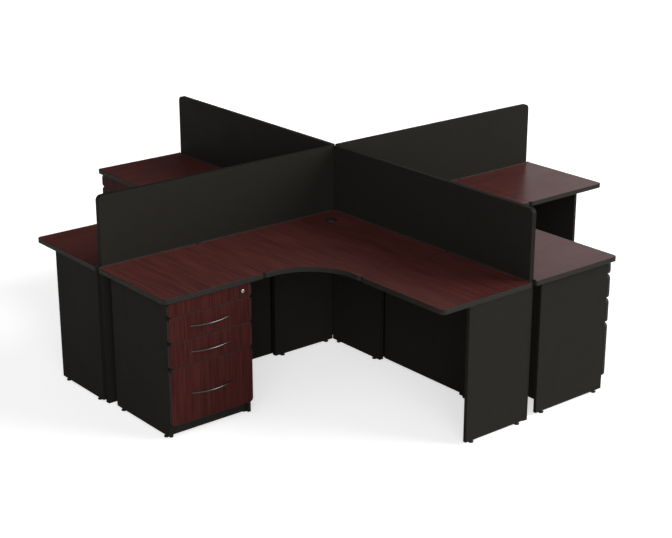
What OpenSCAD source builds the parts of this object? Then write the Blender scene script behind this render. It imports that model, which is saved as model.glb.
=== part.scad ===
// Four-person workstation: four L-shaped desks around a plus of divider panels.
// Millimetres, +Z up. The origin is on the floor under the centre of the plus.
// Every station is drawn once, in the quarter x > 0, y < 0, and turned by quarter turns.

/* [Worktops] */
// Height of the worktop's upper face above the floor
top_height = 750; // [700:1:780]
// Thickness of a worktop
top_t = 25.4; // [19:0.1:30]
// Distance from a divider's middle plane to a worktop's front edge
top_depth = 610; // [600:1:640]
// Distance from a divider's middle plane to a worktop's back edge
top_back = 16; // [15:0.5:24]
// Distance from the centre to a worktop's outer end
top_end = 1540; // [1534:1:1600]
// Distance from the centre to the joint between a corner worktop and its neighbours
seam_at = 941; // [900:1:960]
// Straight length of front edge between that joint and the bay's curve
bay_stub = 52; // [30:1:80]
// Thickness of the edge band
band_t = 3; // [1:0.5:4]
// Radius of the outer front corners
nose_r = 24; // [8:1:30]
// Radius of the front corners at a joint
seam_r = 24; // [6:1:30]
// Radius of the back corners
back_r = 7; // [5:1:12]
// Height of the low lip on the worktops' back edges
lip_h = 5; // [2:1:12]
// Gap at a joint between worktops
seam_gap = 1; // [0.5:0.1:2]

/* [Dividers] */
// Thickness of a divider panel
div_t = 28.6; // [25:0.1:32]
// Height of a divider panel
div_h = 1120; // [1000:1:1400]
// Distance from the centre to a divider's outer end
div_end = 1518; // [1480:1:1530]
// Radius of the divider's outer top corner
div_outer_r = 28; // [10:1:60]
// Radius of the divider's inner top corner
div_inner_r = 14; // [5:1:40]

/* [Pedestals] */
// Distance from the centre to a pedestal's outer side
ped_outer = 1511; // [1500:1:1520]
// Width of a pedestal
ped_w = 490; // [450:1:520]
// Distance from a divider's middle plane to a pedestal's back
ped_back = 83; // [70:1:100]
// Depth of a pedestal's side panels
ped_d = 492; // [480:1:500]
// Thickness of the pedestal's boards
board_t = 19; // [16:0.5:22]
// Underside of the pedestal's bottom board
ped_floor = 75; // [60:1:90]
// Depth of the toe space
toe_d = 23; // [10:1:60]

/* [Drawer fronts] */
// Thickness of a drawer front
front_t = 20; // [16:0.5:22]
// Radius of a drawer front's corners
front_r = 20; // [5:1:30]
// Gap between the pedestal and its drawer fronts
front_gap = 2; // [1:0.5:3]
// Lower and upper edge of the file drawer's front
file_z = [78, 377.5];
// Lower and upper edge of the middle drawer's front
middle_z = [379.5, 512.5];
// Lower and upper edge of the upper drawer's front
upper_z = [514.5, 644.5];
// Lower and upper edge of the lock rail
rail_z = [646.5, 719];

/* [Pulls] */
// End to end length of a bow pull
pull_l = 237; // [160:1:260]
// Distance that the pull stands out of the front
pull_out = 30; // [24:1:40]
// Diameter of the pull's bar
pull_bar = 8; // [6:0.5:12]
// Heights of the pulls on the file, middle and upper drawers
pull_z = [225, 444, 578];

/* [Locks] */
// Diameter of the lock's flange
lock_d = 19; // [17:0.5:26]
// Distance from the pedestal's inner side to the lock
lock_in = 51; // [40:1:80]
// Height of the lock
lock_z = 684; // [675:1:690]

/* [Gables and back panels] */
// Distance from the centre to the end gable's outer face
gable_end = 1532; // [1525:1:1538]
// Thickness of the end gable
gable_t = 20; // [18:0.5:26]
// Distance from a divider's middle plane to the gable's front edge
gable_depth = 428; // [400:1:560]
// Distance from a divider's middle plane to the corner back panel's face
corner_face = 81; // [75:1:90]
// Thickness of the corner back panel
corner_t = 28; // [18:1:30]
// Distance from the centre to the corner back panel's outer edge
corner_end = 488; // [450:1:520]
// Distance from a divider's middle plane to the wing back panel's face
wing_face = 56; // [50:1:60]
// Thickness of the wing back panel
wing_t = 18; // [16:0.5:20]
// Nearer and farther edge of the wing back panel
wing_span = [500, 1098];
// Thickness of the post at the wing back panel's outer end
post_t = 54; // [18:1:60]
// Depth of that post
post_d = 34; // [25:1:36]

/* [Feet and grommets] */
// Gap under the panels that the levelling feet hold
foot_h = 12.7; // [8:0.1:20]
// Diameter of a foot's pad
foot_d = 27; // [20:1:32]
// Diameter of a foot's stem
stem_d = 10; // [8:1:14]
// Distance from the centre lines to a grommet
grommet_at = 143.5; // [120:0.5:200]
// Diameter of the grommet's flange
grommet_d = 70; // [60:1:90]
// Diameter of the hole through the worktop
grommet_hole = 61; // [54:1:80]

/* [Hidden] */

laminate = [0.26, 0.12, 0.11];
charcoal = [0.18, 0.17, 0.16];
edge_grey = [0.22, 0.22, 0.20];
box_grey = [0.62, 0.61, 0.59];
steel = [0.70, 0.70, 0.72];
bright = [0.85, 0.85, 0.86];

$fn = 48;
quarter = 90;
stations = [0, 1, 2, 3];
// Slack that a cut runs past the face it opens
eps = 1;
// Glue line between boards that butt together, which keeps each board a solid of its own
glue = 0.2;

// Heights
under_top = top_height - top_t;

// The bay's curve, a circle that is tangent to both front edges
bay_c = seam_at - bay_stub;
bay_r = bay_c - top_depth;

// The pedestal, seen from its drawers: back, sides and the planes of its fronts
ped_inner = ped_outer - ped_w;
ped_front = ped_back + ped_d;
side_in_outer = -(ped_outer - board_t);
side_in_inner = -(ped_inner + board_t);
case_back_t = 12;
case_back_set = 15;
cavity_back = ped_back + case_back_set + case_back_t;
front_back = ped_front + front_gap;
front_face = front_back + front_t;
front_mid_y = -(ped_outer + ped_inner) / 2;
toe_face = ped_front - toe_d;
stretcher_d = 100;

// The drawer boxes, and the runners at their sides
runner_gap = 12.7;
box_side_t = 12;
box_bottom_t = 6;
box_back = 135;
box_up = 10;
box_down = 17;
file_box_up = 24;
file_box_down = 40;
upper_box = [upper_z[0] + box_up, upper_z[1] - box_down];
middle_box = [middle_z[0] + box_up, middle_z[1] - box_down];
file_box = [file_z[0] + file_box_up, file_z[1] - file_box_down];
box_set = [file_box, middle_box, upper_box];
bottom_up = 8;

// The runners: a channel on the case, an angle on the drawer and a roller on each
sheet_t = 1.2;
runner_h = 28;
runner_l = 450;
channel_w = 10;
angle_x = [138, 572];
angle_up = 3;
angle_shelf = 20;
angle_reach = 3;
roller_d = 18;
roller_t = 6;
pin_d = 5;
roller_w = 3.5;
roller_play = 0.4;
roller_in = 13;
runner_up = 6;
runner_z = [for (b = box_set) b[0] + runner_up];

// The bow pull: a round bar bent to an arc that ends on the front's face
bow_rise = pull_out - pull_bar / 2;
bow_foot = 9;
bow_half = pull_l / 2 - bow_foot;
bow_r = (bow_half * bow_half + bow_rise * bow_rise) / (2 * bow_rise);
bow_over = 3;
bow_angle = asin(bow_half / bow_r) + bow_over;

// The lock: a housing in the rail, and a plug with a cam that turns in it
plug_r = 6;
plug_play = 0.05;
barrel_r = 8;
barrel_back = 9;
flange_out = 2;
plug_out = 1;
cam_l = 24;
cam_w = 9;
cam_t = 2.5;
key_w = 1.6;
key_h = 7;
key_d = 5;
lock_y = -(ped_inner + lock_in);
cleat_d = 25;
cleat_in = 14;

// Gap between an end gable and its divider
gable_off = 2;

// The wing back panel hangs a little higher than its post, which stands proud of it
wing_up = 10;
post_face = wing_face + 4;

// The feet, as places along and across the panels that they carry
foot_pad = 7;
gable_feet = [65, gable_depth - 45];
corner_feet = [120, 430];
ped_feet = [132, 527];

// The grommet: a sleeve with a flange, and a cap with a cable slot
sleeve_t = 2;
sleeve_l = 20;
flange_t = 2.5;
cap_t = 4;
flange_w = 5;
slot_w = 16;
slot_l = 22;
slot_in = 6;
slot_turn = -35;

// Takes a corner of radius r off a shape whose corner is at the origin, in x > 0, y > 0
module corner_cut(r) {
    difference() {
        translate([-eps, -eps]) square(r + eps);
        translate([r, r]) circle(r);
    }
}

// A rectangle from a to b, with radii for its low-low, high-low, high-high and low-high corners
module plank(a, b, radii) {
    difference() {
        translate(a) square([b[0] - a[0], b[1] - a[1]]);
        translate(a) corner_cut(radii[0]);
        translate([b[0], a[1]]) mirror([1, 0, 0]) corner_cut(radii[1]);
        translate(b) rotate(2 * quarter) corner_cut(radii[2]);
        translate([a[0], b[1]]) mirror([0, 1, 0]) corner_cut(radii[3]);
    }
}

// Outlines of the worktops, drawn smaller by d all round
module pedestal_top_outline(d = 0) {
    plank([top_back + d, -top_end + d], [top_depth - d, -seam_at - seam_gap / 2 - d],
        [back_r - d, nose_r - d, seam_r - d, back_r - d]);
}

module return_top_outline(d = 0) {
    plank([seam_at + seam_gap / 2 + d, -top_depth + d], [top_end - d, -top_back - d],
        [seam_r - d, nose_r - d, back_r - d, back_r - d]);
}

module corner_top_outline(d = 0) {
    far = seam_at - seam_gap / 2 - d;
    near = top_back + d;
    deep = top_depth - d;
    difference() {
        union() {
            translate([near, -far]) square([deep - near, far - near]);
            translate([near, -deep]) square([far - near, deep - near]);
            translate([near, -bay_c]) square([bay_c - near, bay_c - near]);
        }
        translate([bay_c, -bay_c]) circle(bay_r + d, $fn = 96);
        translate([near, -near]) mirror([0, 1, 0]) corner_cut(back_r - d);
        translate([near, -far]) corner_cut(back_r - d);
        translate([far, -near]) rotate(2 * quarter) corner_cut(back_r - d);
        translate([deep, -far]) mirror([1, 0, 0]) corner_cut(seam_r - d);
        translate([far, -deep]) mirror([1, 0, 0]) corner_cut(seam_r - d);
    }
}

// Strips where a board runs through to the joint, because the band stops at its round corners
module seam_strips() {
    strip = [seam_at - seam_gap / 2 - band_t, top_back + back_r];
    across = top_depth - seam_r - strip[1];
    along = 2 * band_t + seam_gap;
    translate([strip[1], -strip[0] - along]) square([across, along]);
    translate([strip[0], -strip[1] - across]) square([along, across]);
}

module at_top() {
    translate([0, 0, under_top]) linear_extrude(top_t) children();
}

module pedestal_top() {
    color(laminate) at_top() {
        pedestal_top_outline(band_t);
        intersection() { pedestal_top_outline(); seam_strips(); }
    }
}

module return_top() {
    color(laminate) at_top() {
        return_top_outline(band_t);
        intersection() { return_top_outline(); seam_strips(); }
    }
}

module corner_top() {
    color(laminate) difference() {
        at_top() {
            corner_top_outline(band_t);
            intersection() { corner_top_outline(); seam_strips(); }
        }
        translate([grommet_at, -grommet_at, under_top - eps])
            cylinder(d = grommet_hole, h = top_t + 2 * eps);
    }
}

// A block from corner a to corner b
module block(a, b) {
    translate(a) cube([for (i = [0:2]) b[i] - a[i]]);
}

// Low lips that stand on the bands of the back edges
module back_lips() {
    upper = under_top + top_t;
    spans = [[top_back + back_r, seam_at - seam_gap / 2 - back_r],
        [seam_at + seam_gap / 2 + back_r, top_end - back_r]];
    for (span = spans) {
        block([top_back, -span[1], upper - lip_h], [top_back + band_t, -span[0], upper + lip_h]);
        block([span[0], -top_back - band_t, upper - lip_h], [span[1], -top_back, upper + lip_h]);
    }
}

module station_bands() {
    back_lips();
    at_top() difference() { pedestal_top_outline(); pedestal_top_outline(band_t); seam_strips(); }
    at_top() difference() { return_top_outline(); return_top_outline(band_t); seam_strips(); }
    at_top() difference() { corner_top_outline(); corner_top_outline(band_t); seam_strips(); }
}

module end_gable() {
    color(charcoal)
        block([gable_end - gable_t, -gable_depth, foot_h], [gable_end, -(div_t / 2 + gable_off), under_top]);
}

// A divider along +X: its inner end is mitred to fit the other three
module divider() {
    color(charcoal) intersection() {
        rotate([quarter, 0, 0]) translate([0, 0, -div_t / 2]) linear_extrude(div_t)
            plank([0, 0], [div_end, div_h], [0, 0, div_outer_r, div_inner_r]);
        translate([glue, 0, -eps]) linear_extrude(div_h + 2 * eps)
            polygon([[0, 0], [div_t, -div_t], [div_end + eps, -div_t],
                [div_end + eps, div_t], [div_t, div_t]]);
    }
}

// Back panels of one wing, along +X on the near side of its divider
module corner_back_panel() {
    block([corner_face + glue, -corner_face, foot_h], [corner_end, -(corner_face - corner_t), under_top]);
}

module wing_back_panel() {
    block([wing_span[0], -wing_face, foot_h + wing_up],
        [wing_span[1], -(wing_face - wing_t), under_top]);
    block([wing_span[1] + glue, -post_face, foot_h],
        [wing_span[1] + glue + post_t, -(post_face - post_d), under_top]);
}

// Both wings of every station
module each_wing() {
    for (k = stations) rotate(k * quarter) {
        children();
        rotate(-quarter) mirror([0, 1, 0]) children();
    }
}

module pedestal_case() {
    color(charcoal) {
        block([ped_back, -ped_outer, foot_h], [ped_front, side_in_outer - glue, under_top]);
        block([ped_back, side_in_inner + glue, foot_h], [ped_front, -ped_inner, under_top]);
        block([cavity_back + glue, side_in_outer, ped_floor],
            [ped_front, side_in_inner, ped_floor + board_t]);
        block([cavity_back - case_back_t, side_in_outer, ped_floor],
            [cavity_back, side_in_inner, under_top]);
        block([toe_face - board_t, side_in_outer, foot_h],
            [toe_face, side_in_inner, ped_floor - glue]);
        block([ped_front - stretcher_d, side_in_outer, under_top - board_t],
            [ped_front, side_in_inner, under_top]);
        block([cavity_back + glue, side_in_outer, under_top - board_t],
            [cavity_back + stretcher_d, side_in_inner, under_top]);
    }
}

// A board on the plane of the drawer fronts, between two heights
module front_board(z) {
    translate([front_back, 0, 0]) rotate([quarter, 0, quarter]) linear_extrude(front_t)
        plank([-ped_outer, z[0]], [-ped_inner, z[1]], [front_r, front_r, front_r, front_r]);
}

// The fixed rail above the drawers, with the cleats that hold it between the sides
module lock_rail() {
    difference() {
        union() {
            front_board(rail_z);
            both_sides() block([ped_front - cleat_d, side_in_outer, rail_z[0] + cleat_in],
                [front_back + eps, side_in_outer + board_t, rail_z[1] - cleat_in]);
        }
        translate([front_back - eps, lock_y, lock_z]) rotate([0, quarter, 0])
            cylinder(r = barrel_r, h = front_t + 2 * eps);
    }
}

module lock_housing() {
    translate([0, lock_y, lock_z]) rotate([0, quarter, 0]) difference() {
        union() {
            translate([0, 0, front_back - barrel_back]) cylinder(r = barrel_r, h = front_t + barrel_back);
            translate([0, 0, front_face]) cylinder(d = lock_d, h = flange_out);
        }
        translate([0, 0, front_back - barrel_back - eps])
            cylinder(r = plug_r + plug_play, h = front_t + barrel_back + flange_out + 2 * eps);
    }
}

module lock_plug() {
    plug_back = front_back - barrel_back - glue;
    plug_face = front_face + flange_out + plug_out;
    color(bright) {
        difference() {
            translate([plug_back, lock_y, lock_z]) rotate([0, quarter, 0])
                cylinder(r = plug_r, h = plug_face - plug_back);
            block([plug_face - key_d, lock_y - key_w / 2, lock_z - key_h / 2],
                [plug_face + eps, lock_y + key_w / 2, lock_z + key_h / 2]);
        }
        block([plug_back - cam_t, lock_y - cam_w / 2, lock_z - cam_l],
            [plug_back, lock_y + cam_w / 2, lock_z + cam_w / 2]);
    }
}

// The two sides of a drawer: children are drawn at the outer side and mirrored to the inner one
module both_sides() {
    children();
    translate([0, front_mid_y, 0]) mirror([0, 1, 0]) translate([0, -front_mid_y, 0]) children();
}

// A roller whose axis is along Y, on a pin between the distances w0 and w1 from the case's side
module roller(x, z, w0, w1) {
    translate([x, side_in_outer, z]) rotate([-quarter, 0, 0]) {
        translate([0, 0, roller_w]) cylinder(d = roller_d, h = roller_t);
        translate([0, 0, w0]) cylinder(d = pin_d, h = w1 - w0);
    }
}

// The part of a pair of runners that is screwed to the case
module case_runners(z) {
    x0 = ped_front - runner_l;
    both_sides() {
        difference() {
            block([x0, side_in_outer + glue, z], [ped_front, side_in_outer + channel_w, z + runner_h]);
            block([x0 - eps, side_in_outer + sheet_t, z + sheet_t],
                [ped_front + eps, side_in_outer + channel_w + eps, z + runner_h - sheet_t]);
        }
        roller(ped_front - roller_in, z + angle_shelf - roller_play - roller_d / 2,
            sheet_t / 2, roller_w + roller_t);
    }
}

// The part that is screwed to the drawer
module drawer_runners_moving(z) {
    web = side_in_outer + runner_gap - glue;
    both_sides() {
        block([angle_x[0], web - sheet_t, z + angle_up], [angle_x[1], web, z + angle_shelf + sheet_t]);
        block([angle_x[0], side_in_outer + angle_reach, z + angle_shelf],
            [angle_x[1], web - sheet_t / 2, z + angle_shelf + sheet_t]);
        roller(angle_x[0] + roller_in, z + sheet_t + roller_play + roller_d / 2,
            roller_w, runner_gap - sheet_t);
    }
}

// A drawer: its front, and a box of five boards behind it
module drawer(front_z, box_z) {
    y0 = side_in_outer + runner_gap;
    y1 = side_in_inner - runner_gap;
    x1 = front_back - glue;
    color(laminate) front_board(front_z);
    color(box_grey) {
        block([box_back, y0, box_z[0]], [x1, y0 + box_side_t, box_z[1]]);
        block([box_back, y1 - box_side_t, box_z[0]], [x1, y1, box_z[1]]);
        block([box_back, y0 + box_side_t + glue, box_z[0]],
            [box_back + box_side_t, y1 - box_side_t - glue, box_z[1]]);
        block([x1 - box_side_t, y0 + box_side_t + glue, box_z[0]],
            [x1, y1 - box_side_t - glue, box_z[1]]);
        block([box_back + box_side_t + glue, y0 + box_side_t + glue, box_z[0] + bottom_up],
            [x1 - box_side_t - glue, y1 - box_side_t - glue, box_z[0] + bottom_up + box_bottom_t]);
    }
    color(steel) drawer_runners_moving(box_z[0] + runner_up);
}

module bow_pull(z) {
    color(bright) intersection() {
        translate([front_face + bow_rise - bow_r, front_mid_y, z]) rotate(-bow_angle)
            rotate_extrude(angle = 2 * bow_angle, $fn = 180) translate([bow_r, 0]) circle(d = pull_bar);
        block([front_face, front_mid_y - pull_l, z - pull_bar],
            [front_face + 2 * pull_out, front_mid_y + pull_l, z + pull_bar]);
    }
}

module foot(x, y) {
    translate([x, y, 0]) {
        cylinder(d = foot_d, h = foot_pad);
        cylinder(d = stem_d, h = foot_h);
    }
}

module station_feet() {
    side_mid = board_t / 2;
    for (x = ped_feet) {
        foot(x, -(ped_outer - side_mid));
        foot(x, -(ped_inner + side_mid));
    }
    for (y = gable_feet) foot(gable_end - gable_t / 2, -y);
}

module wing_feet() {
    for (x = corner_feet) foot(x, -(corner_face - corner_t / 2));
    foot(wing_span[1] + glue + post_t / 2, -(post_face - post_d / 2));
}

module grommet() {
    sleeve_d = grommet_hole - 2 * glue;
    translate([grommet_at, -grommet_at, top_height]) difference() {
        union() {
            cylinder(d = grommet_d, h = flange_t);
            cylinder(d = grommet_d - 2 * flange_w, h = cap_t);
            translate([0, 0, -sleeve_l]) cylinder(d = sleeve_d, h = sleeve_l);
        }
        translate([0, 0, -sleeve_l - eps]) cylinder(d = sleeve_d - 2 * sleeve_t, h = sleeve_l + eps);
        rotate(slot_turn) block([grommet_d / 2 - slot_in - slot_l, -slot_w / 2, -eps],
            [grommet_d / 2 - slot_in, slot_w / 2, cap_t + eps]);
    }
}

// Draws a station's node if it is the one asked for
module piece(k, part) {
    name = str(["front", "right", "back", "left"][k], "_", part);
    rotate(k * quarter) children();
}

for (k = stations) {
    piece(k, "pedestal_top") pedestal_top();
    piece(k, "corner_top") corner_top();
    piece(k, "return_top") return_top();
    piece(k, "end_gable") end_gable();
    piece(k, "pedestal_case") pedestal_case();
    piece(k, "lock") lock_plug();
    piece(k, "upper_drawer") drawer(upper_z, upper_box);
    piece(k, "middle_drawer") drawer(middle_z, middle_box);
    piece(k, "file_drawer") drawer(file_z, file_box);
    piece(k, "upper_pull") bow_pull(pull_z[2]);
    piece(k, "middle_pull") bow_pull(pull_z[1]);
    piece(k, "file_pull") bow_pull(pull_z[0]);
}

for (k = stations) {
    name = ["front_right_divider", "back_right_divider", "back_left_divider", "front_left_divider"][k];
    rotate(k * quarter) divider();
}

module each_station() {
    for (k = stations) rotate(k * quarter) children();
}

module corner_back_panels() color(charcoal) each_wing() corner_back_panel();
module wing_back_panels() color(charcoal) each_wing() wing_back_panel();
module lock_rails() color(laminate) each_station() lock_rail();
module lock_housings() color(bright) each_station() lock_housing();
module drawer_runners() color(steel) each_station() for (z = runner_z) case_runners(z);
module edge_bands() color(edge_grey) each_station() station_bands();
module grommets() color(edge_grey) each_station() grommet();
module levelling_feet() color(edge_grey) {
    each_station() station_feet();
    each_wing() wing_feet();
}

corner_back_panels();
wing_back_panels();
levelling_feet();
grommets();
lock_rails();
lock_housings();
drawer_runners();
edge_bands();
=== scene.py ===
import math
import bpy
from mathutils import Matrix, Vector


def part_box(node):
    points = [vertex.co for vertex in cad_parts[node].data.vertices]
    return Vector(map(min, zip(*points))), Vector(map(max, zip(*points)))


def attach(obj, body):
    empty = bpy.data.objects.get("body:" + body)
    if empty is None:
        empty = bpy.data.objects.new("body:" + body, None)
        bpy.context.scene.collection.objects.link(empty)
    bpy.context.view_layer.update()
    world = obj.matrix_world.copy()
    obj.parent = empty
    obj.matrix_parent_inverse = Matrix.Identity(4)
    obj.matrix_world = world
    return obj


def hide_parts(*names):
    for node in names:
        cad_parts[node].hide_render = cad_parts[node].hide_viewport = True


bl_info = {
    "name": "Four-person workstation",
    "version": (1, 0, 0),
    "blender": (4, 5, 0),
    "location": "View3D > Sidebar > Workstation",
    "description": "Builds four laminate desks round a cross of divider panels, and a studio round them",
    "category": "Add Mesh",
}

from functools import cache

import bmesh
import bpy
from bpy.props import FloatProperty, FloatVectorProperty, PointerProperty
from mathutils import Matrix, Vector

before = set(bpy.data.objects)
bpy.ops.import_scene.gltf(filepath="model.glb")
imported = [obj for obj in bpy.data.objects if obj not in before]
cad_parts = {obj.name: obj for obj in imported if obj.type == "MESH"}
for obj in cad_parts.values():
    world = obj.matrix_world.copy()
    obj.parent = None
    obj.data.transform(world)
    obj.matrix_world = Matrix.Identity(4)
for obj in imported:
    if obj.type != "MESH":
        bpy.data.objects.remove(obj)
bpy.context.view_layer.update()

STATIONS = ("front", "right", "back", "left")
DRAWERS = ("upper", "middle", "file")
DIVIDERS = ("front_right_divider", "back_right_divider", "back_left_divider", "front_left_divider")
QUARTER = math.pi / 2

# Face numbers of a board: its laminate, and the band on its edges
FACE = 0
EDGE = 1

# Share of its band and round-over that a board keeps where it meets another
BARE = 0.1

# The same share at the joint beside the return, where the band shows
JOINT_BAND = 0.4

# Share of a joint's corner radius over which the band comes back
JOINT_REACH = 0.6

# Steps of a rounded corner: the least number, and how it grows with the root of the radius
CORNER_STEPS = 4
CORNER_GROWTH = 75

# Steps of a round-over, and those round turned forms
ROUND_OVER_STEPS = 3
TURNED_STEPS = 32
FOOT_STEPS = 24
GROMMET_STEPS = 64

# A pull's steps along its bow and round its bar, the rounds that find the bow's radius, and how
# far each end runs into the drawer's front before it is cut off, in radians
BOW_STEPS = 48
BAR_STEPS = 16
BOW_ROUNDS = 20
BOW_EXTRA = 0.03

# Eased edges of blocks and of the drawer boxes' boards
BLOCK_EASE = 0.0006
BOX_EASE = 0.0008

# Share of a board's grain shift that goes across it, and the shift of a mirror image
ACROSS_SHIFT = 0.37
MIRROR_SHIFT = 0.31

# Feet: where they stand along a corner's back panel, and how far the pedestal's front ones are
# moved forwards
CORNER_FEET = (0.120, 0.430)
FRONT_FOOT_SHIFT = 0.001

# The rounded edge of a grommet's flange: how far in, at which share of its height
FLANGE_EDGE = ((0, 0.35), (0.0008, 0.75), (0.002, 1))

# Where two faces meet at more than this angle their edge stays sharp
SHARP = math.radians(50)


def low(node):
    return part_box(node)[0]


def high(node):
    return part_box(node)[1]


# Settings


def length(name, default, description):
    return FloatProperty(name=name, default=default, unit="LENGTH", description=description)


def tint(name, default, description):
    return FloatVectorProperty(name=name, default=default, subtype="COLOR", size=3, min=0, max=1,
                               description=description)


def strength(name, default, description):
    return FloatProperty(name=name, default=default, min=0, description=description)


class WorkstationSizes(bpy.types.PropertyGroup):
    """Sizes that the solids hold but their boxes don't show."""

    band: length("Edge band", 0.003, "Thickness of the band, as it shows on a board's face")
    front_band: length("Fronts' band", 0.0018, "Thickness of the band on the drawer fronts")
    round_over: length("Round-over", 0.0016, "Radius along a board's edges")
    glue: length("Glue line", 0.0002, "Gap between boards that butt together")
    nose_radius: length("Nose radius", 0.024, "Outer front corners of the worktops")
    seam_radius: length("Joint radius", 0.024, "Front corners of the worktops at a joint")
    lip_high: length("Back lip", 0.005, "Height of the lip on a worktop's back edges")
    back_radius: length("Back radius", 0.007, "Back corners of the worktops")
    bay_stub: length("Bay stub", 0.0515, "Straight front edge between a joint and the bay's curve")
    divider_outer_radius: length("Divider's outer radius", 0.028, "Outer top corner of a divider")
    divider_inner_radius: length("Divider's inner radius", 0.014, "Inner top corner of a divider")
    corner_face: length("Corner back panel", 0.081, "From a divider's middle plane to its face")
    corner_thick: length("Corner back panel's board", 0.028, "Thickness of the corner back panel")
    wing_face: length("Wing back panel", 0.056, "From a divider's middle plane to its face")
    wing_thick: length("Wing back panel's board", 0.018, "Thickness of the wing back panel")
    wing_start: length("Wing back panel's start", 0.5, "From the centre to its nearer edge")
    wing_up: length("Wing back panel's gap", 0.01, "How much higher it hangs than its post")
    post_face: length("Post", 0.06, "From a divider's middle plane to the post's face")
    post_deep: length("Post's depth", 0.034, "Depth of the post at the wing's end")
    post_thick: length("Post's board", 0.054, "Thickness of the post")
    case_board: length("Pedestal boards", 0.019, "Thickness of the pedestal's boards")
    case_floor: length("Pedestal floor", 0.075, "Underside of the pedestal's bottom board")
    case_back_set: length("Back inset", 0.015, "From a pedestal's back edge to its back board")
    case_back_thick: length("Back board", 0.012, "Thickness of the pedestal's back board")
    toe_deep: length("Toe space", 0.023, "Depth of the toe space under the drawers")
    stretcher: length("Stretchers", 0.1, "Width of the pedestal's top stretchers")
    cleat_deep: length("Cleats", 0.025, "How far the lock rail's cleats reach into the pedestal")
    cleat_in: length("Cleats' inset", 0.014, "From the lock rail's edges to its cleats")
    front_thick: length("Drawer fronts", 0.02, "Thickness of a drawer front")
    front_radius: length("Drawer front's radius", 0.02, "Corners of the drawer fronts")
    box_side: length("Drawer box", 0.012, "Thickness of its four upright boards")
    box_bottom: length("Drawer bottom", 0.006, "Thickness of a drawer's bottom")
    bottom_up: length("Bottom's height", 0.008, "From the box's lower edge to its bottom")
    box_up: length("Box above front's edge", 0.01, "From a front's lower edge to its box")
    box_down: length("Box below front's edge", 0.017, "From a front's upper edge to its box")
    file_box_up: length("File box above front's edge", 0.024,
                        "From the file front's lower edge to its box")
    file_box_down: length("File box below front's edge", 0.04,
                          "From the file front's upper edge to its box")
    runner_gap: length("Runner gap", 0.0127, "Gap at each side of a drawer box")
    runner_up: length("Runner's height", 0.006, "From a box's lower edge to its runners")
    runner_high: length("Channel's height", 0.028, "Height of a runner channel")
    runner_long: length("Channel's length", 0.45, "Length of a runner channel")
    channel_wide: length("Channel's width", 0.01, "How far a runner channel stands out of its wall")
    sheet: length("Runner sheet", 0.0012, "Thickness of the runners' steel")
    angle_up: length("Angle's lower edge", 0.003,
                     "From a channel's underside to the angle's lower edge")
    angle_shelf: length("Angle's shelf", 0.02, "From a channel's underside to the angle's shelf")
    angle_reach: length("Angle's reach", 0.003, "From the wall to the edge of the angle's shelf")
    angle_set: length("Angle's start", 0.003, "From a drawer box's back to its angles")
    angle_long: length("Angle's length", 0.434, "Length of a runner angle")
    roller: length("Rollers", 0.018, "Diameter of the runners' rollers")
    roller_wide: length("Roller's width", 0.006, "Width of a roller")
    roller_off: length("Roller's place", 0.0035, "From the wall to a roller")
    roller_pin: length("Roller's pin", 0.005, "Diameter of a roller's pin")
    roller_in: length("Roller's inset", 0.013, "From a runner's end to its roller")
    roller_play: length("Roller's play", 0.0004, "Gap between a roller and the other runner")
    plug_hole: length("Lock bore", 0.0121, "Bore of a lock housing")
    barrel: length("Lock barrel", 0.016, "Diameter of a lock housing's barrel")
    barrel_back: length("Barrel's length", 0.009, "How far the barrel reaches behind the rail")
    lock_flange: length("Lock flange", 0.019, "Diameter of a lock housing's flange")
    flange_out: length("Lock flange's thickness", 0.002, "How far the flange stands out of the rail")
    cam_reach: length("Lock cam", 0.024, "From a lock's axis to the end of its cam")
    foot_pad: length("Foot", 0.027, "Diameter of a foot's pad")
    foot_stem: length("Foot's stem", 0.01, "Diameter of a foot's stem")
    foot_in: length("Pedestal's feet", 0.049, "From a pedestal's back and front edges to its feet")
    gable_foot: length("Gable's back foot", 0.065, "From a divider's middle plane to it")
    gable_foot_in: length("Gable's front foot", 0.045, "From the gable's front edge to it")
    grommet_at: length("Grommet", 0.1435, "From the dividers' middle planes to a grommet's centre")
    grommet_hole: length("Grommet's hole", 0.061, "Diameter of the hole in the worktop")
    grommet_flange: length("Grommet's flange", 0.07, "Outer diameter of a grommet")
    grommet_cap: length("Grommet's cap", 0.06, "Diameter of a grommet's cap")
    flange_high: length("Flange's height", 0.0025, "How far the flange stands above the worktop")
    cap_high: length("Cap's height", 0.004, "How far the cap stands above the worktop")
    sleeve_wall: length("Sleeve's wall", 0.002, "Thickness of a grommet's sleeve")
    sleeve_long: length("Sleeve's length", 0.02, "Length of a grommet's sleeve")
    slot_wide: length("Cable slot's width", 0.016, "Width of the slot in a cap")
    slot_long: length("Cable slot's length", 0.022, "Length of the slot in a cap")
    slot_in: length("Cable slot's inset", 0.006, "From the flange's edge to the slot's outer end")
    slot_turn: FloatProperty(
        name="Cable slot's turn", default=math.radians(-35), subtype="ANGLE",
        description="Direction of the slot in a cap")


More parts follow.
